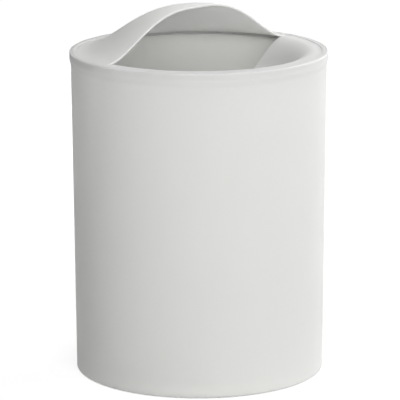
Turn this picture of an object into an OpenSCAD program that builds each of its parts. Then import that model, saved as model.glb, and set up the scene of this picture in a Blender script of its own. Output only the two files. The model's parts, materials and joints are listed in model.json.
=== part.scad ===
// Countertop trash can with a swing lid, in millimetres.
// The origin is the middle of the footprint on the surface it stands on, +Z is up and
// -Y is the front. The body flares out at its rim, and a ring that carries a thin round
// swing lid drops into it. Along the pivot line the lid is cut: behind the cut it rises as
// a half dome, and in front it dips as one, so that an eye-shaped opening stays between.

/* [Body] */
// Height of the rim above the surface
rim_h = 230; // [150:1:400]
// Outer diameter of the body just below its flared rim
body_d = 180; // [120:1:300]
// Outer diameter of the body at its foot
base_d = 176; // [118:1:298]
// Thickness of the body's wall
wall_t = 2.4; // [2.2:0.1:3.5]
// Thickness of the body's floor
floor_t = 2.4; // [1.5:0.1:4]
// Height of the floor's underside above the wall's foot
base_recess = 2.4; // [1:0.1:6]
// Rounding of the body's outer bottom edge
base_edge_r = 1.8; // [0.5:0.1:2]
// Rounding inside, between wall and floor
floor_fillet = 6; // [2:0.5:12]

/* [Rim] */
// Distance by which the rim stands proud of the body, on the radius
rim_proud = 1.1; // [0.8:0.1:3]
// Height of the rim's upright stretch
rim_band_h = 4.5; // [4:0.5:8]
// Height over which the body flares out to the rim
flare_h = 6; // [3:0.5:20]
// Thickness of the rim beside the lid ring
rim_t = 1.6; // [1.3:0.1:2.2]
// Rounding of the rim's outer top edge
rim_edge_r = 0.9; // [0.3:0.1:1]
// Rounding of the top edges on both sides of the narrow gaps
gap_edge_r = 0.2; // [0.1:0.05:0.4]

/* [Feet] */
// Diameter of a foot pad
foot_d = 12; // [6:0.5:20]
// Height by which the pads hold the wall's foot off the surface
foot_proud = 0.4; // [0.3:0.1:2]
// Distance from the wall's inside to a pad's edge
foot_inset = 5.6; // [1:0.1:20]
// Rounding of a pad's bottom edge
foot_edge_r = 0.5; // [0.2:0.1:1]

/* [Lid ring] */
// Height of the ring, from the shelf inside the rim up to the rim's top
ring_h = 4; // [3.8:0.1:6]
// Width of the ring on the radius
ring_w = 3; // [2.9:0.1:5]
// Clearance between the ring and the body's rim, on the radius
ring_fit = 0.15; // [0.1:0.05:0.4]

/* [Swing lid] */
// Thickness of the lid's skin
lid_t = 1.6; // [1:0.1:2.4]
// Depth of the lid's level edge below the rim's top
lid_drop = 0.2; // [0:0.05:0.6]
// Rise of the rear half dome
rear_rise = 31.5; // [15:0.5:50]
// Fullness of the rear dome: a higher value gives a wider crown and a steeper flank
rear_power = 1.43; // [1.1:0.01:2.2]
// Distance outside the lid's edge at which the rear dome would run level
rear_runout = 0.75; // [0:0.05:5]
// Dip of the front half dome
front_dip = 37; // [15:0.1:50]
// Fullness of the front dome
front_power = 1.75; // [1.1:0.01:2.2]
// Width of the level band between the lid's edge and the front dome
front_level = 4.8; // [0:0.1:12]
// Direction of the pivot line, from +X towards the back
pivot_dir = 41.5; // [0:0.5:90]
// Gap between the lid and the ring's bore, on the radius
lid_gap = 0.3; // [0.3:0.05:1]
// Width of the bead round the lid's edge
bead_w = 1.6; // [1:0.1:3]
// Height of the bead round the lid's edge, down from the lid's top
bead_h = 2.6; // [2.4:0.1:3]

/* [Pivots] */
// Depth of the pivot line below the rim's top
pivot_drop = 1.9; // [1.8:0.1:2.4]
// Diameter of a pivot pin
pin_d = 1.6; // [1.2:0.1:1.8]
// Running clearance of a pin in the ring, on the radius
pin_run = 0.05; // [0.02:0.01:0.1]
// Clearance of a pin where it is bonded into the lid, on the radius
pin_seat = 0.01; // [0.01:0.01:0.03]
// Length of a pin inside the lid
pin_in_lid = 3; // [2:0.5:10]
// Length of a pin inside the ring
pin_in_ring = 2.2; // [1.4:0.1:2.4]
// Space left beyond a pin's outer end
pin_end_gap = 0.2; // [0.1:0.1:0.4]
// Wall of the lid's pin boss round the pin
boss_wall = 0.5; // [0.4:0.1:0.5]

/* [Return weight] */
// Length of the weight, along the lid's rear edge
weight_l = 18; // [6:0.5:40]
// Width of the weight, along the lid's radius
weight_w = 7; // [4:0.5:14]
// Height of the weight
weight_h = 5; // [2:0.5:8]
// Distance from the lid's bead to the middle of the weight's outer side
weight_inset = 1.8; // [1:0.1:6]

/* [Stop ledge] */
// Angle that the ring's ledge spans under the lid's rear edge
ledge_span = 24; // [10:1:100]
// Reach of the ledge inwards under the lid
ledge_reach = 1.4; // [1:0.1:2.2]
// Gap between the ledge and the lid's bead at rest
ledge_gap = 0.2; // [0.1:0.05:0.4]

/* [Hidden] */
$fn = 180;
// Overshoot of a cutting tool past the surface that it opens
over = 0.1;
// Straight pieces along a dome's profile
dome_steps = 40;
// Straight pieces along a rounded corner of an outline
corner_steps = 8;
body_r = body_d / 2;
base_r = base_d / 2;
rim_r = body_r + rim_proud;
flare_z = rim_h - rim_band_h - flare_h;
// Inside of the body's wall at the top, below the shelf
neck_in_r = body_r - wall_t;
shelf_z = rim_h - ring_h;
// Inside of the rim beside the lid ring
rebate_r = rim_r - rim_t;
ring_r = rebate_r - ring_fit;
ring_bore_r = ring_r - ring_w;
floor_z = foot_proud + base_recess;
foot_at_r = base_r - wall_t - foot_inset - foot_d / 2;
lid_r = ring_bore_r - lid_gap;
rear_dome_r = lid_r + rear_runout;
front_dome_r = lid_r - front_level;
lid_top_z = rim_h - lid_drop;
// Middle of the lid's skin at its level edge
skin_z = lid_top_z - lid_t / 2;
pivot_z = rim_h - pivot_drop;
bead_z = lid_top_z - bead_h;
bead_in_r = lid_r - bead_w;
bead_mid_r = lid_r - bead_w / 2;
pin_r = pin_d / 2;
boss_r = pin_r + boss_wall;
weight_out_r = bead_in_r - weight_inset;
weight_in_r = weight_out_r - weight_w;
weight_top_z = skin_z - lid_t / 2;
ledge_top_z = bead_z - ledge_gap;
ledge_in_r = lid_r - ledge_reach;
// The ledge grows out of the middle of the ring
ledge_out_r = (ring_bore_r + ring_r) / 2;
// The rear of the swing lid lies a quarter turn on from the pivot line
rear_dir = pivot_dir + 90;

// Points of an arc round c, from angle a0 to angle a1
function arc(c, r, a0, a1) =
    [for (i = [0 : corner_steps]) c + r * [cos(a0 + (a1 - a0) * i / corner_steps),
                                          sin(a0 + (a1 - a0) * i / corner_steps)]];

// Height of a dome's bell curve at radius r, from 1 in the middle to 0 at radius reach
function bell(r, reach, power) = (1 + cos(180 * pow(min(r / reach, 1), power))) / 2;

// Smooth step from 0 to 1 as t goes from 0 to 1
function ease(t) = (1 - cos(180 * t)) / 2;

// Cutter that rounds the upper right corner of a profile at p to radius r
module corner_cut(p, r) {
    translate(p - [r, r])
        difference() {
            square(r + over);
            circle(r);
        }
}

// Half of the lid's skin, out to the middle of the bead: a dome's rise is positive and a
// dip's is negative. The crown's innermost stretch is flat.
module half_dome(rise, reach, power) {
    radii = [for (i = [0 : dome_steps]) bead_mid_r * i / dome_steps];
    top = [for (r = radii)
        [r, skin_z + lid_t / 2 + rise * bell(max(r, radii[1]), reach, power)]];
    under = [for (i = [dome_steps : -1 : 0]) top[i] - [0, lid_t]];
    rotate_extrude(angle = 180)
        polygon(concat(top, under));
}

// A stretch of a revolved profile, span degrees wide, round direction dir
module arc_piece(dir, span) {
    rotate([0, 0, dir - span / 2])
        rotate_extrude(angle = span)
            children();
}

// A round bar along the pivot line, from radius r0 to r1
module pivot_bar(r, r0, r1) {
    translate([r0, 0, pivot_z])
        rotate([0, 90, 0])
            cylinder(h = r1 - r0, r = r);
}

// Places its children at both ends of the pivot line
module both_pivots() {
    for (turn = [0, 180])
        rotate([0, 0, pivot_dir + turn])
            children();
}

module bin_body() {
    floor_top = floor_z + floor_t;
    in_base_r = base_r - wall_t;
    color("#e6e6e1")
        rotate_extrude()
            polygon(concat(
                [[0, floor_z], [in_base_r, floor_z], [in_base_r, foot_proud]],
                arc([base_r - base_edge_r, foot_proud + base_edge_r], base_edge_r, -90, 0),
                [for (i = [0 : corner_steps]) [body_r + rim_proud * ease(i / corner_steps),
                                               flare_z + flare_h * i / corner_steps]],
                arc([rim_r - rim_edge_r, rim_h - rim_edge_r], rim_edge_r, 0, 90),
                arc([rebate_r + gap_edge_r, rim_h - gap_edge_r], gap_edge_r, 90, 180),
                [[rebate_r, shelf_z], [neck_in_r, shelf_z]],
                arc([in_base_r - floor_fillet, floor_top + floor_fillet], floor_fillet, 0, -90),
                [[0, floor_top]]
            ));
}

module foot_pad(dir) {
    color("#cfcfcb")
        rotate([0, 0, dir])
            translate([foot_at_r, 0, 0])
                rotate_extrude()
                    difference() {
                        square([foot_d / 2, floor_z]);
                        mirror([0, 1])
                            corner_cut([foot_d / 2, 0], foot_edge_r);
                    }
}

module lid_ring() {
    color("#e6e6e1")
        difference() {
            union() {
                rotate_extrude()
                    polygon(concat(
                        [[ring_bore_r, shelf_z], [ring_r, shelf_z]],
                        arc([ring_r - gap_edge_r, rim_h - gap_edge_r], gap_edge_r, 0, 90),
                        arc([ring_bore_r + gap_edge_r, rim_h - gap_edge_r], gap_edge_r, 90, 180)
                    ));
                arc_piece(rear_dir, ledge_span)
                    translate([ledge_in_r, shelf_z])
                        square([ledge_out_r - ledge_in_r, ledge_top_z - shelf_z]);
            }
            both_pivots()
                pivot_bar(pin_r + pin_run, ring_bore_r - over,
                          ring_bore_r + pin_in_ring + pin_end_gap);
        }
}

module swing_lid() {
    color("#e9e9e4")
        difference() {
            union() {
                rotate([0, 0, pivot_dir]) {
                    half_dome(rear_rise, rear_dome_r, rear_power);
                    rotate([0, 0, 180])
                        half_dome(-front_dip, front_dome_r, front_power);
                }
                rotate_extrude()
                    lid_bead();
                both_pivots()
                    pivot_bar(boss_r, lid_r - pin_in_lid - boss_wall, bead_mid_r);
                weight_seat();
            }
            both_pivots()
                pivot_bar(pin_r + pin_seat, lid_r - pin_in_lid, lid_r + over);
        }
}

// Section of the bead round the lid's edge
module lid_bead() {
    polygon(concat(
        [[bead_in_r, bead_z]],
        arc([lid_r - gap_edge_r, bead_z + gap_edge_r], gap_edge_r, -90, 0),
        arc([lid_r - gap_edge_r, lid_top_z - gap_edge_r], gap_edge_r, 0, 90),
        [[bead_in_r, lid_top_z]]
    ));
}

// An upright block under the lid's rear edge, as long and wide as the weight
module weight_block(z, h) {
    rotate([0, 0, rear_dir])
        translate([weight_in_r, -weight_l / 2, z])
            cube([weight_w, weight_l, h]);
}

// The flat seat that fills the rear dome above the weight
module weight_seat() {
    reach = norm([weight_out_r, weight_l / 2]);
    radii = [for (i = [0 : corner_steps])
        weight_in_r + (reach - weight_in_r) * i / corner_steps];
    intersection() {
        weight_block(weight_top_z, rear_rise);
        rotate_extrude()
            polygon(concat(
                [[reach, weight_top_z - over], [weight_in_r, weight_top_z - over]],
                [for (r = radii) [r, skin_z + rear_rise * bell(r, rear_dome_r, rear_power)]]
            ));
    }
}

module pivot_pin(turn) {
    color("#b9bcbe")
        rotate([0, 0, pivot_dir + turn])
            pivot_bar(pin_r, lid_r - pin_in_lid, ring_bore_r + pin_in_ring);
}

module return_weight() {
    color("#8f9294")
        weight_block(weight_top_z - weight_h, weight_h);
}

bin_body();
foot_pad(-90);  // foot_pad_front
foot_pad(180);  // foot_pad_left
foot_pad(90);  // foot_pad_back
foot_pad(0);  // foot_pad_right
lid_ring();
swing_lid();
pivot_pin(180);  // pivot_pin_left
pivot_pin(0);  // pivot_pin_right
return_weight();
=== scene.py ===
"""A round countertop trash can with a swing lid: its finished surfaces, light and camera."""
import json
from math import asin, atan2, cos, pi, radians, sin, sqrt

import bmesh
import bpy
from mathutils import Matrix, Vector


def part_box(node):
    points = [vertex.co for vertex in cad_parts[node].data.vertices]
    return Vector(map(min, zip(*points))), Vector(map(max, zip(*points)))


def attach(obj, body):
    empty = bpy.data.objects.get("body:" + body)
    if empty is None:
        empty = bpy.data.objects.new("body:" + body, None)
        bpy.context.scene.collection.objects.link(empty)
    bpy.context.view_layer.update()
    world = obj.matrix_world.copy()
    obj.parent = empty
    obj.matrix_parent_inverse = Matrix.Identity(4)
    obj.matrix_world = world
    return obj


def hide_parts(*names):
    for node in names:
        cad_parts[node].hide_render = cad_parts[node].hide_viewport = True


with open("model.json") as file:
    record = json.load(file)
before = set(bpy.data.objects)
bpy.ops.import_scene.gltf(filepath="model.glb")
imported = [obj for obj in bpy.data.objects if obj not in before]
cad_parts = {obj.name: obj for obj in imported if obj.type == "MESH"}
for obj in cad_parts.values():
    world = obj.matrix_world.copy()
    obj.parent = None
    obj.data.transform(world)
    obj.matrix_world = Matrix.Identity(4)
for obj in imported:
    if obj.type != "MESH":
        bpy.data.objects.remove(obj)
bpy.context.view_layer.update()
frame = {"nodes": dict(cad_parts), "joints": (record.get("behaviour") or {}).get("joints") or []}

MM = 0.001

# Sizes and places read from the frame
BODY_LO, BODY_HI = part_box("bin_body")
RIM_R, FOOT_Z, RIM_Z = BODY_HI.x, BODY_LO.z, BODY_HI.z
SHELF_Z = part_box("lid_ring")[0].z
SWING = next(joint for joint in frame["joints"] if joint["name"] == "lid_swing")
PIVOT_DIR = atan2(SWING["axis"][1], SWING["axis"][0])
PIVOT_Z = SWING["pos_m"][2]
REAR_DIR = PIVOT_DIR + pi / 2

# The body and its flared rim
BODY_R = 90 * MM
BASE_R = 88 * MM
WALL_T = 2.4 * MM
FLOOR_T = 2.4 * MM
BASE_RECESS = 2.4 * MM
# Rounding of the foot's outer edge
BASE_EDGE_R = 1.8 * MM
FLOOR_FILLET = 6 * MM
RIM_BAND_H = 4.5 * MM
FLARE_H = 6 * MM
RIM_T = 1.6 * MM
RIM_EDGE_R = 0.9 * MM
SMALL_EDGE_R = 0.3 * MM
# The dimple that the mould leaves under the floor
GATE_R = 2.4 * MM
GATE_DEPTH = 0.4 * MM
# Inner radius of the wall under the shelf
NECK_IN_R = BODY_R - WALL_T

# The lid ring, its stop ledge and its pin holes. The seams on both sides of the ring hardly
# show, so they are drawn tighter than its fits.
RING_W = 3 * MM
RING_FIT = 0.15 * MM
RING_SEAM = 0.04 * MM
RING_R = RIM_R - RIM_T - RING_SEAM
BORE_R = RIM_R - RIM_T - RING_FIT - RING_W
GAP_EDGE_R = 0.08 * MM
LEDGE_SPAN = radians(24)
LEDGE_REACH = 1.4 * MM
LEDGE_GAP = 0.2 * MM
PIN_HOLE_R = 0.85 * MM
PIN_HOLE_L = 2.4 * MM
# How far inside the bore the bar that cuts a pin hole starts
HOLE_LEAD = 2 * MM

# The swing lid, with its raised rear half and its dipped front half
LID_GAP = 0.3 * MM
LID_SEAM = 0.1 * MM
LID_R = BORE_R - LID_SEAM
LID_T = 1.6 * MM
LID_DROP = 0.2 * MM
LID_TOP_Z = RIM_Z - LID_DROP
SKIN_Z = LID_TOP_Z - LID_T / 2
REAR_RISE, REAR_POWER = 31.5 * MM, 1.43
REAR_RUNOUT = 0.75 * MM
REAR_DOME_R = BORE_R - LID_GAP + REAR_RUNOUT
FRONT_DIP, FRONT_POWER = 37 * MM, 1.75
FRONT_LEVEL = 4.8 * MM
FRONT_DOME_R = BORE_R - LID_GAP - FRONT_LEVEL
# The bead under the lid's edge
BEAD_W = 1.6 * MM
BEAD_H = 2.6 * MM
CUT_EDGE_R = 0.35 * MM
# How far each half stays from the line of the cut
CUT_GAP = 0.02 * MM
# How far a joined piece stays behind its neighbour's face, so that no two faces coincide
TUCK = 0.04 * MM
BOSS_R = 1.3 * MM
BOSS_L = 3.5 * MM
WEIGHT_L = 18 * MM
WEIGHT_W = 7 * MM
WEIGHT_INSET = 1.8 * MM

# How finely the meshes are stepped
TURN_STEPS = 256
LEDGE_STEPS = 60
BAR_STEPS = 48
LONG_STEPS = 12
LARGE_ARC = 8
SMALL_ARC = 4
TINY_ARC = 3
EDGE_STEPS = 5
SHEET_COLUMNS = 160
SHEET_ROWS = 48

# Plastic: its colour, how far light goes into it, and the scale of its marks per metre
PLASTIC = (0.83, 0.83, 0.805)
PLASTIC_ROUGHNESS = 0.5
PLASTIC_SPECULAR = 0.35
GLOW_THROUGH = 1.0
GLOW_DEPTH = 6 * MM
FLOW_SCALE = 9
FLOW_DETAIL = 4.0
FLOW_STRETCH = (1, 1, 0.35)
FLOW_SHADE = 0.97
SHEEN_SCALE = 60
SHEEN_SPREAD = 0.05
GRAIN_SCALE = 2600
GRAIN_DETAIL = 2.0
GRAIN_STRENGTH = 0.12
GRAIN_DEPTH = 0.05 * MM

# Rubber of the pads
RUBBER = (0.48, 0.48, 0.46)
RUBBER_ROUGHNESS = 0.85
RUBBER_SPECULAR = 0.2
DUST_SCALE = 900
DUST_SHADE = 0.85
DUST_STRENGTH = 0.3
DUST_DEPTH = 0.1 * MM

# Steel of the pins and of the weight
PIN_COLOUR = (0.60, 0.61, 0.62)
PIN_ROUGHNESS = 0.3
WEIGHT_COLOUR = (0.42, 0.43, 0.44)
WEIGHT_ROUGHNESS = 0.45
STEEL_SPECULAR = 0.5
DRAWN_SCALE = 700
DRAWN_DETAIL = 2.0
DRAWN_STRETCH = (1, 1, 12)
DRAWN_SMOOTHER = 0.08
DRAWN_ROUGHER = 0.12
DRAWN_STRENGTH = 0.15
DRAWN_DEPTH = 0.03 * MM

# The middle range of a noise texture, which is stretched to a finish's two ends
NOISE_LOW, NOISE_HIGH = 0.3, 0.7

# Camera of the photograph: its place, its aim and its field of view
CAMERA_AT = (-18.2 * MM, -2230.4 * MM, 642.2 * MM)
CAMERA_PITCH = radians(-13.143)
CAMERA_YAW = radians(-0.481)
CAMERA_ROLL = radians(-0.136)
CAMERA_LENS = 290.1
CAMERA_REACH = 100
SENSOR_WIDTH = 36.0

# Lights. Each soft box is its place, its size and its power.
SOFT_BOXES = {
    "right": ((0.6, 0.0, 0.9), 0.6, 2.5),
    "right_low": ((0.8, -0.1, 0.35), 0.6, 1.3),
    "front": ((0.0, -1.0, 0.9), 0.7, 3.4),
    "front_low": ((0.5, -1.6, 0.7), 0.8, 10.0),
    "front_left": ((-0.5, -0.8, 1.2), 0.6, 5.2),
    "rear": ((0.6, 0.6, 0.6), 0.6, 4.6),
    "back": ((0.0, 0.9, 0.8), 0.7, 1.0),
}
LIGHT_AIM = (0, 0, 0.15)
WORLD_LEVEL = 0.01

# Floor: what it bounces, what it shows near the bin and where it has turned plain white
FLOOR_SIZE = 12.0
FLOOR_ALBEDO = 0.8
FLOOR_SHADOW = 0.35
FLOOR_GLOW = 0.8
FLOOR_NEAR = 0.2
FLOOR_FAR = 0.65


def new_object(name, bm):
    """Turns a bmesh into an object with outward normals."""
    bmesh.ops.recalc_face_normals(bm, faces=bm.faces)
    mesh = bpy.data.meshes.new(name)
    bm.to_mesh(mesh)
    bm.free()
    obj = bpy.data.objects.new(name, mesh)
    bpy.context.scene.collection.objects.link(obj)
    return obj


def arc(centre, radius, start, end, steps):
    """Points of an arc in the (r, z) plane, with its angles in degrees."""
    angles = [radians(start + (end - start) * i / steps) for i in range(steps + 1)]
    return [(centre[0] + radius * cos(a), centre[1] + radius * sin(a)) for a in angles]


def round_box(r0, r1, z0, z1, corner, steps=SMALL_ARC):
    """Closed outline of a rectangle in the (r, z) plane with rounded corners."""
    c = corner
    return (arc((r1 - c, z0 + c), c, -90, 0, steps) + arc((r1 - c, z1 - c), c, 0, 90, steps)
            + arc((r0 + c, z1 - c), c, 90, 180, steps)
            + arc((r0 + c, z0 + c), c, 180, 270, steps))


def revolve(name, outline, segments=TURN_STEPS, start=0.0, span=2 * pi):
    """Turns an (r, z) outline round the Z axis. Points with r = 0 lie on the axis."""
    bm = bmesh.new()
    full = span == 2 * pi
    turns = segments if full else segments + 1
    columns = []
    for r, z in outline:
        if r == 0:
            columns.append([bm.verts.new((0, 0, z))] * turns)
            continue
        angles = [start + span * j / segments for j in range(turns)]
        columns.append([bm.verts.new((r * cos(a), r * sin(a), z)) for a in angles])
    count = len(outline)
    for i in range(count):
        a, b = columns[i], columns[(i + 1) % count]
        for j in range(segments):
            k = (j + 1) % turns
            corners = list(dict.fromkeys([a[j], a[k], b[k], b[j]]))
            if len(corners) > 2:
                bm.faces.new(corners)
    if not full:
        bm.faces.new([column[0] for column in columns])
        bm.faces.new([column[-1] for column in columns])
    return new_object(name, bm)


def combine(obj, tools, operation):
    """Adds tools to obj, or cuts them from it, and deletes them."""
    for tool in tools:
        cut = obj.modifiers.new("combine", "BOOLEAN")
        cut.operation = operation
        cut.solver = "EXACT"
        cut.object = tool
        depsgraph = bpy.context.evaluated_depsgraph_get()
        mesh = bpy.data.meshes.new_from_object(obj.evaluated_get(depsgraph))
        obj.modifiers.clear()
        obj.data = mesh
        bpy.data.objects.remove(tool)
    return obj


def smooth(obj, angle=35):
    """Shades obj smoothly, apart from edges sharper than the angle."""
    mesh = obj.data
    mesh.polygons.foreach_set("use_smooth", [True] * len(mesh.polygons))
    mesh.set_sharp_from_angle(angle=radians(angle))
    return obj


def dress(obj, material, node, body):
    """Gives obj its material and puts it in the place of a CAD node."""
    obj.data.materials.clear()
    obj.data.materials.append(material)
    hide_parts(node)
    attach(obj, body)
    return smooth(obj)


def bell(r, reach, power):
    """Height of a dome's bell curve at radius r, from 1 in the middle to 0 at radius reach."""
    return (1 + cos(pi * min(r / reach, 1) ** power)) / 2


def ease(t):
    """Smooth step from 0 to 1."""
    return (1 - cos(pi * t)) / 2


def along(start, end, steps):
    """Points of a straight line in the (r, z) plane, without its two ends."""
    return [(start[0] + (end[0] - start[0]) * i / steps, start[1] + (end[1] - start[1]) * i / steps)
            for i in range(1, steps)]


def make_body():
    """The tapered container, with a rounded foot, a recessed floor and a flared rim."""
    floor_z = FOOT_Z + BASE_RECESS
    floor_top = floor_z + FLOOR_T
    base_in_r = BASE_R - WALL_T
    rebate_r = RIM_R - RIM_T
    flare_z = RIM_Z - RIM_BAND_H - FLARE_H
    fillet_z = floor_top + FLOOR_FILLET
    e, gap_e = SMALL_EDGE_R, GAP_EDGE_R
    outline = [(0, floor_z + GATE_DEPTH)]
    outline += arc((GATE_R - GATE_DEPTH, floor_z), GATE_DEPTH, 90, 0, TINY_ARC)
    outline += arc((base_in_r - 2 * e, floor_z - 2 * e), 2 * e, 90, 0, SMALL_ARC)
    outline += arc((base_in_r + e, FOOT_Z + e), e, 180, 270, SMALL_ARC)
    outline += arc((BASE_R - BASE_EDGE_R, FOOT_Z + BASE_EDGE_R), BASE_EDGE_R, -90, 0, LARGE_ARC)
    outline += along((BASE_R, FOOT_Z + BASE_EDGE_R), (BODY_R, flare_z), LONG_STEPS)
    for i in range(LONG_STEPS + 1):
        share = i / LONG_STEPS
        outline.append((BODY_R + (RIM_R - BODY_R) * ease(share), flare_z + FLARE_H * share))
    outline += arc((RIM_R - RIM_EDGE_R, RIM_Z - RIM_EDGE_R), RIM_EDGE_R, 0, 90, LARGE_ARC)
    outline += arc((rebate_r + gap_e, RIM_Z - gap_e), gap_e, 90, 180, SMALL_ARC)
    outline += [(rebate_r, SHELF_Z)]
    outline += arc((NECK_IN_R + e, SHELF_Z - e), e, 90, 180, SMALL_ARC)
    outline += along((NECK_IN_R, SHELF_Z - e), (base_in_r, fillet_z), LONG_STEPS)
    outline += arc((base_in_r - FLOOR_FILLET, fillet_z), FLOOR_FILLET, 0, -90, LARGE_ARC)
    outline += [(0, floor_top)]
    return revolve("bin_body_shell", outline)


def make_ring():
    """The lid ring, with its stop ledge and two pin holes."""
    ring = revolve("lid_ring_shell", round_box(BORE_R, RING_R, SHELF_Z, RIM_Z, GAP_EDGE_R))
    top_z = LID_TOP_Z - BEAD_H - LEDGE_GAP
    near, far = LID_R - LEDGE_REACH, (BORE_R + RING_R) / 2
    low_z = SHELF_Z + TUCK
    lip = [(far, low_z), (far, top_z)]
    lip += arc((near + GAP_EDGE_R, top_z - GAP_EDGE_R), GAP_EDGE_R, 90, 180, TINY_ARC)
    lip += arc((near + GAP_EDGE_R, low_z + GAP_EDGE_R), GAP_EDGE_R, 180, 270, TINY_ARC)
    ledge = revolve("ledge", lip, LEDGE_STEPS, REAR_DIR - LEDGE_SPAN / 2, LEDGE_SPAN)
    combine(ring, [ledge], "UNION")
    holes = [pivot_bar("hole", PIN_HOLE_R, BORE_R - HOLE_LEAD, BORE_R + PIN_HOLE_L, turn)
             for turn in (0, pi)]
    return combine(ring, holes, "DIFFERENCE")


def pivot_bar(name, radius, near, far, turn, corner=0.0):
    """A round bar along the pivot line, from radius near to radius far."""
    outline = [(0, near)]
    if corner:
        outline += arc((radius - corner, near + corner), corner, -90, 0, SMALL_ARC)
    else:
        outline.append((radius, near))
    outline += [(radius, far), (0, far)]
    bar = revolve(name, outline, BAR_STEPS)
    lay = Matrix.Rotation(PIVOT_DIR + turn, 4, "Z") @ Matrix.Rotation(pi / 2, 4, "Y")
    bar.data.transform(Matrix.Translation((0, 0, PIVOT_Z)) @ lay)
    return bar


def round_edge(corner):
    """A sheet's rounded edge from its top to its underside, as (depth, height)."""
    half = LID_T / 2
    angles = [pi / 2 * i / EDGE_STEPS for i in range(EDGE_STEPS + 1)]
    top = [(corner - corner * sin(a), half - corner + corner * cos(a)) for a in angles]
    return top + [(depth, -height) for depth, height in reversed(top)]


def make_half_sheet(name, rise, reach, power):
    """Half of the lid's skin, with rounded edges. A dip is a negative rise."""
    bm = bmesh.new()
    turn = Matrix.Rotation(PIVOT_DIR + (0 if rise > 0 else pi), 4, "Z")
    cut_edge, outer_edge = round_edge(CUT_EDGE_R), round_edge(GAP_EDGE_R)
    inner_r = LID_R - GAP_EDGE_R
    # The sheet ends a little before its two sharp corners, inside the bead
    corner = asin(3 * CUT_EDGE_R / inner_r)

    def vertex(u, n, z):
        height = SKIN_Z + rise * bell(sqrt(u * u + n * n), reach, power) + z
        return bm.verts.new(turn @ Vector((u, n + CUT_GAP, height)))

    loops = []
    for c in range(SHEET_COLUMNS + 1):
        angle = corner + (pi - 2 * corner) * c / SHEET_COLUMNS
        u, far_n = inner_r * cos(angle), inner_r * sin(angle)
        across = [CUT_EDGE_R + (far_n - CUT_EDGE_R) * r / SHEET_ROWS for r in range(1, SHEET_ROWS)]
        loop = [vertex(u, n, LID_T / 2) for n in reversed(across)]
        loop += [vertex(u, n, z) for n, z in cut_edge]
        loop += [vertex(u, n, -LID_T / 2) for n in across]
        for depth, z in reversed(outer_edge):
            grow = (LID_R - depth) / inner_r
            loop.append(vertex(u * grow, far_n * grow, z))
        loops.append(loop)
    for a, b in zip(loops, loops[1:]):
        for i in range(len(a)):
            k = (i + 1) % len(a)
            bm.faces.new((a[i], a[k], b[k], b[i]))
    bm.faces.new(loops[0])
    bm.faces.new(loops[-1])
    return new_object(name, bm)


def make_seat():
    """The wedge under the rear dome that gives the weight a flat seat."""
    far = BORE_R - LID_GAP - BEAD_W - WEIGHT_INSET
    near = far - WEIGHT_W
    turn = Matrix.Rotation(REAR_DIR, 4, "Z")
    bm = bmesh.new()
    low, high = [], []
    for r, side in ((near, -1), (far, -1), (far, 1), (near, 1)):
        place = (r, side * WEIGHT_L / 2)
        low.append(bm.verts.new(turn @ Vector((*place, SKIN_Z - LID_T / 2))))
        rise = REAR_RISE * bell(sqrt(place[0] ** 2 + place[1] ** 2), REAR_DOME_R, REAR_POWER)
        high.append(bm.verts.new(turn @ Vector((*place, SKIN_Z + rise))))
    bm.faces.new(low)
    bm.faces.new(high)
    for i in range(4):
        k = (i + 1) % 4
        bm.faces.new((low[i], low[k], high[k], high[i]))
    return new_object("seat", bm)


def make_lid():
    """The swing lid: two half sheets, the bead round them, two pin bosses and a seat."""
    bead = revolve("swing_lid_shell", round_box(
        LID_R - BEAD_W, LID_R - TUCK, LID_TOP_Z - BEAD_H, SKIN_Z, GAP_EDGE_R))
    sheets = [make_half_sheet("raised", REAR_RISE, REAR_DOME_R, REAR_POWER),
              make_half_sheet("dipped", -FRONT_DIP, FRONT_DOME_R, FRONT_POWER)]
    bosses = [pivot_bar("boss", BOSS_R, LID_R - BOSS_L, LID_R - BEAD_W / 2, turn, GAP_EDGE_R)
              for turn in (0, pi)]
    return combine(bead, sheets + bosses + [make_seat()], "UNION")


def new_material(name, colour, roughness, specular, metallic=0.0):
    """A principled material with its uniform values on the shader's own sockets."""
    material = bpy.data.materials.new(name)
    material.use_nodes = True
    nodes, links = material.node_tree.nodes, material.node_tree.links
    shader = nodes["Principled BSDF"]
    shader.inputs["Base Color"].default_value = (*colour, 1)
    shader.inputs["Roughness"].default_value = roughness
    shader.inputs["Specular IOR Level"].default_value = specular
    shader.inputs["Metallic"].default_value = metallic
    material.diffuse_color = (*colour, 1)
    return material, nodes, links, shader


def noise(nodes, links, scale, detail=3.0, stretch=(1, 1, 1)):
    """A noise texture in the object's own coordinates, with its scale per metre."""
    place = nodes.new("ShaderNodeTexCoord")
    mapping = nodes.new("ShaderNodeMapping")
    mapping.inputs["Scale"].default_value = stretch
    texture = nodes.new("ShaderNodeTexNoise")
    texture.inputs["Scale"].default_value = scale
    texture.inputs["Detail"].default_value = detail
    links.new(place.outputs["Object"], mapping.inputs["Vector"])
    links.new(mapping.outputs["Vector"], texture.inputs["Vector"])
    return texture.outputs["Fac"]


def spread(nodes, links, value, low, high):
    """Maps a noise value from its middle range to low and high."""
    node = nodes.new("ShaderNodeMapRange")
    node.inputs["From Min"].default_value = NOISE_LOW
    node.inputs["From Max"].default_value = NOISE_HIGH
    node.inputs["To Min"].default_value = low
    node.inputs["To Max"].default_value = high
    links.new(value, node.inputs["Value"])
    return node.outputs["Result"]


def vary_colour(nodes, links, shader, mask, colour, shade):
    """Varies the shader's colour between colour and a darker shade of it."""
    tint = nodes.new("ShaderNodeMix")
    tint.data_type = "RGBA"
    tint.inputs["A"].default_value = (*colour, 1)
    tint.inputs["B"].default_value = (*[channel * shade for channel in colour], 1)
    links.new(spread(nodes, links, mask, 0.0, 1.0), tint.inputs["Factor"])
    links.new(tint.outputs["Result"], shader.inputs["Base Color"])


def vary_roughness(nodes, links, shader, mask, low, high):
    """Varies the shader's roughness between low and high."""
    links.new(spread(nodes, links, mask, low, high), shader.inputs["Roughness"])


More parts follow.
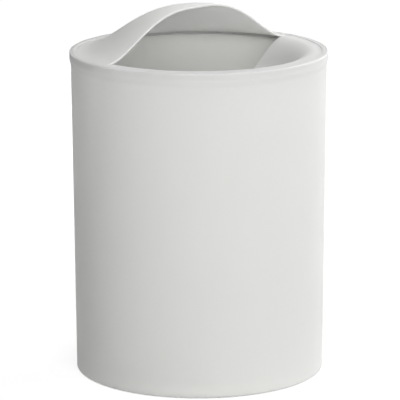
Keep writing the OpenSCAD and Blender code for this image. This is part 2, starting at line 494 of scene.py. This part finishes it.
def add_relief(nodes, links, shader, height, strength, depth):
    """Gives the shader a fine relief."""
    bump = nodes.new("ShaderNodeBump")
    bump.inputs["Strength"].default_value = strength
    bump.inputs["Distance"].default_value = depth
    links.new(height, bump.inputs["Height"])
    links.new(bump.outputs["Normal"], shader.inputs["Normal"])


def moulded_plastic(name):
    """Satin moulded plastic: faint flow marks, a fine grain and an uneven sheen."""
    material, nodes, links, shader = new_material(
        name, PLASTIC, PLASTIC_ROUGHNESS, PLASTIC_SPECULAR)
    shader.inputs["Subsurface Weight"].default_value = GLOW_THROUGH
    shader.inputs["Subsurface Radius"].default_value = (1.0, 1.0, 1.0)
    shader.inputs["Subsurface Scale"].default_value = GLOW_DEPTH
    flow = noise(nodes, links, FLOW_SCALE, FLOW_DETAIL, FLOW_STRETCH)
    vary_colour(nodes, links, shader, flow, PLASTIC, FLOW_SHADE)
    sheen = noise(nodes, links, SHEEN_SCALE)
    vary_roughness(nodes, links, shader, sheen,
                   PLASTIC_ROUGHNESS - SHEEN_SPREAD, PLASTIC_ROUGHNESS + SHEEN_SPREAD)
    grain = noise(nodes, links, GRAIN_SCALE, GRAIN_DETAIL)
    add_relief(nodes, links, shader, grain, GRAIN_STRENGTH, GRAIN_DEPTH)
    return material


def soft_rubber(name):
    """Matte rubber with a dusty grain."""
    material, nodes, links, shader = new_material(
        name, RUBBER, RUBBER_ROUGHNESS, RUBBER_SPECULAR)
    dust = noise(nodes, links, DUST_SCALE)
    vary_colour(nodes, links, shader, dust, RUBBER, DUST_SHADE)
    add_relief(nodes, links, shader, dust, DUST_STRENGTH, DUST_DEPTH)
    return material


def drawn_steel(name, colour, roughness):
    """Bare steel with fine drawing lines and an uneven sheen."""
    material, nodes, links, shader = new_material(
        name, colour, roughness, STEEL_SPECULAR, metallic=1.0)
    lines = noise(nodes, links, DRAWN_SCALE, DRAWN_DETAIL, DRAWN_STRETCH)
    vary_roughness(nodes, links, shader, lines, roughness - DRAWN_SMOOTHER,
                   roughness + DRAWN_ROUGHER)
    add_relief(nodes, links, shader, lines, DRAWN_STRENGTH, DRAWN_DEPTH)
    return material


def seen_directly(nodes, links):
    """1 where the camera, a reflection or glass looks at the surface, else 0."""
    path = nodes.new("ShaderNodeLightPath")
    value = path.outputs["Is Camera Ray"]
    for other in ("Is Glossy Ray", "Is Transmission Ray"):
        larger = nodes.new("ShaderNodeMath")
        larger.operation = "MAXIMUM"
        links.new(value, larger.inputs[0])
        links.new(path.outputs[other], larger.inputs[1])
        value = larger.outputs["Value"]
    return value


def make_floor():
    """A white floor that keeps a soft shadow round the bin and is plain white further off."""
    bpy.ops.mesh.primitive_plane_add(size=FLOOR_SIZE)
    floor = bpy.context.object
    floor.name = "floor"
    material = bpy.data.materials.new("floor")
    material.use_nodes = True
    nodes, links = material.node_tree.nodes, material.node_tree.links
    nodes.clear()
    output = nodes.new("ShaderNodeOutputMaterial")
    plain = nodes.new("ShaderNodeBsdfDiffuse")
    plain.inputs["Color"].default_value = (*[FLOOR_ALBEDO] * 3, 1)
    shadowed = nodes.new("ShaderNodeBsdfDiffuse")
    shadowed.inputs["Color"].default_value = (*[FLOOR_SHADOW] * 3, 1)
    place = nodes.new("ShaderNodeTexCoord")
    distance = nodes.new("ShaderNodeVectorMath")
    distance.operation = "LENGTH"
    links.new(place.outputs["Object"], distance.inputs[0])
    fade = nodes.new("ShaderNodeMapRange")
    fade.inputs["From Min"].default_value = FLOOR_NEAR
    fade.inputs["From Max"].default_value = FLOOR_FAR
    fade.inputs["To Min"].default_value = FLOOR_GLOW
    fade.inputs["To Max"].default_value = 1.0
    links.new(distance.outputs["Value"], fade.inputs["Value"])
    glow = nodes.new("ShaderNodeEmission")
    links.new(fade.outputs["Result"], glow.inputs["Strength"])
    both = nodes.new("ShaderNodeAddShader")
    links.new(shadowed.outputs["BSDF"], both.inputs[0])
    links.new(glow.outputs["Emission"], both.inputs[1])
    mix = nodes.new("ShaderNodeMixShader")
    links.new(seen_directly(nodes, links), mix.inputs["Fac"])
    links.new(plain.outputs["BSDF"], mix.inputs[1])
    links.new(both.outputs["Shader"], mix.inputs[2])
    links.new(mix.outputs["Shader"], output.inputs["Surface"])
    floor.data.materials.append(material)


def make_world():
    """A world that adds a little even light and is seen as plain white."""
    world = bpy.data.worlds.new("studio")
    bpy.context.scene.world = world
    world.use_nodes = True
    nodes, links = world.node_tree.nodes, world.node_tree.links
    nodes.clear()
    output = nodes.new("ShaderNodeOutputWorld")
    light = nodes.new("ShaderNodeBackground")
    light.inputs["Strength"].default_value = WORLD_LEVEL
    white = nodes.new("ShaderNodeBackground")
    mix = nodes.new("ShaderNodeMixShader")
    links.new(seen_directly(nodes, links), mix.inputs["Fac"])
    links.new(light.outputs["Background"], mix.inputs[1])
    links.new(white.outputs["Background"], mix.inputs[2])
    links.new(mix.outputs["Shader"], output.inputs["Surface"])


def make_lamp(name, place, size, power):
    """A square soft box at place that looks at the middle of the bin."""
    lamp = bpy.data.lights.new(name, "AREA")
    lamp.shape = "SQUARE"
    lamp.size = size
    lamp.energy = power
    obj = bpy.data.objects.new(name, lamp)
    bpy.context.scene.collection.objects.link(obj)
    obj.location = place
    obj.rotation_euler = (Vector(LIGHT_AIM) - Vector(place)).to_track_quat("-Z", "Y").to_euler()


def make_camera():
    """The photograph's camera, without shift."""
    data = bpy.data.cameras.new("camera")
    data.sensor_width = SENSOR_WIDTH
    data.lens = CAMERA_LENS
    data.clip_end = CAMERA_REACH
    camera = bpy.data.objects.new("camera", data)
    bpy.context.scene.collection.objects.link(camera)
    turn = (Matrix.Rotation(CAMERA_YAW, 4, "Z") @ Matrix.Rotation(pi / 2 + CAMERA_PITCH, 4, "X")
            @ Matrix.Rotation(CAMERA_ROLL, 4, "Z"))
    camera.matrix_world = Matrix.Translation(CAMERA_AT) @ turn
    bpy.context.scene.camera = camera


make_camera()
make_world()
make_floor()
for name, (place, size, power) in SOFT_BOXES.items():
    make_lamp(name, place, size, power)

BIN_PLASTIC = moulded_plastic("bin_plastic")
LID_PLASTIC = moulded_plastic("lid_plastic")
PAD_RUBBER = soft_rubber("pad_rubber")
PIN_STEEL = drawn_steel("pin_steel", PIN_COLOUR, PIN_ROUGHNESS)
WEIGHT_STEEL = drawn_steel("weight_steel", WEIGHT_COLOUR, WEIGHT_ROUGHNESS)
CAD_MATERIALS = {
    "foot_pad_front": PAD_RUBBER,
    "foot_pad_left": PAD_RUBBER,
    "foot_pad_back": PAD_RUBBER,
    "foot_pad_right": PAD_RUBBER,
    "pivot_pin_left": PIN_STEEL,
    "pivot_pin_right": PIN_STEEL,
    "return_weight": WEIGHT_STEEL,
}

dress(make_body(), BIN_PLASTIC, "bin_body", "bin")
dress(make_ring(), LID_PLASTIC, "lid_ring", "ring")
dress(make_lid(), LID_PLASTIC, "swing_lid", "lid")

for node, material in CAD_MATERIALS.items():
    mesh = frame["nodes"][node].data
    mesh.materials.clear()
    mesh.materials.append(material)

bpy.context.scene.view_settings.view_transform = "Standard"
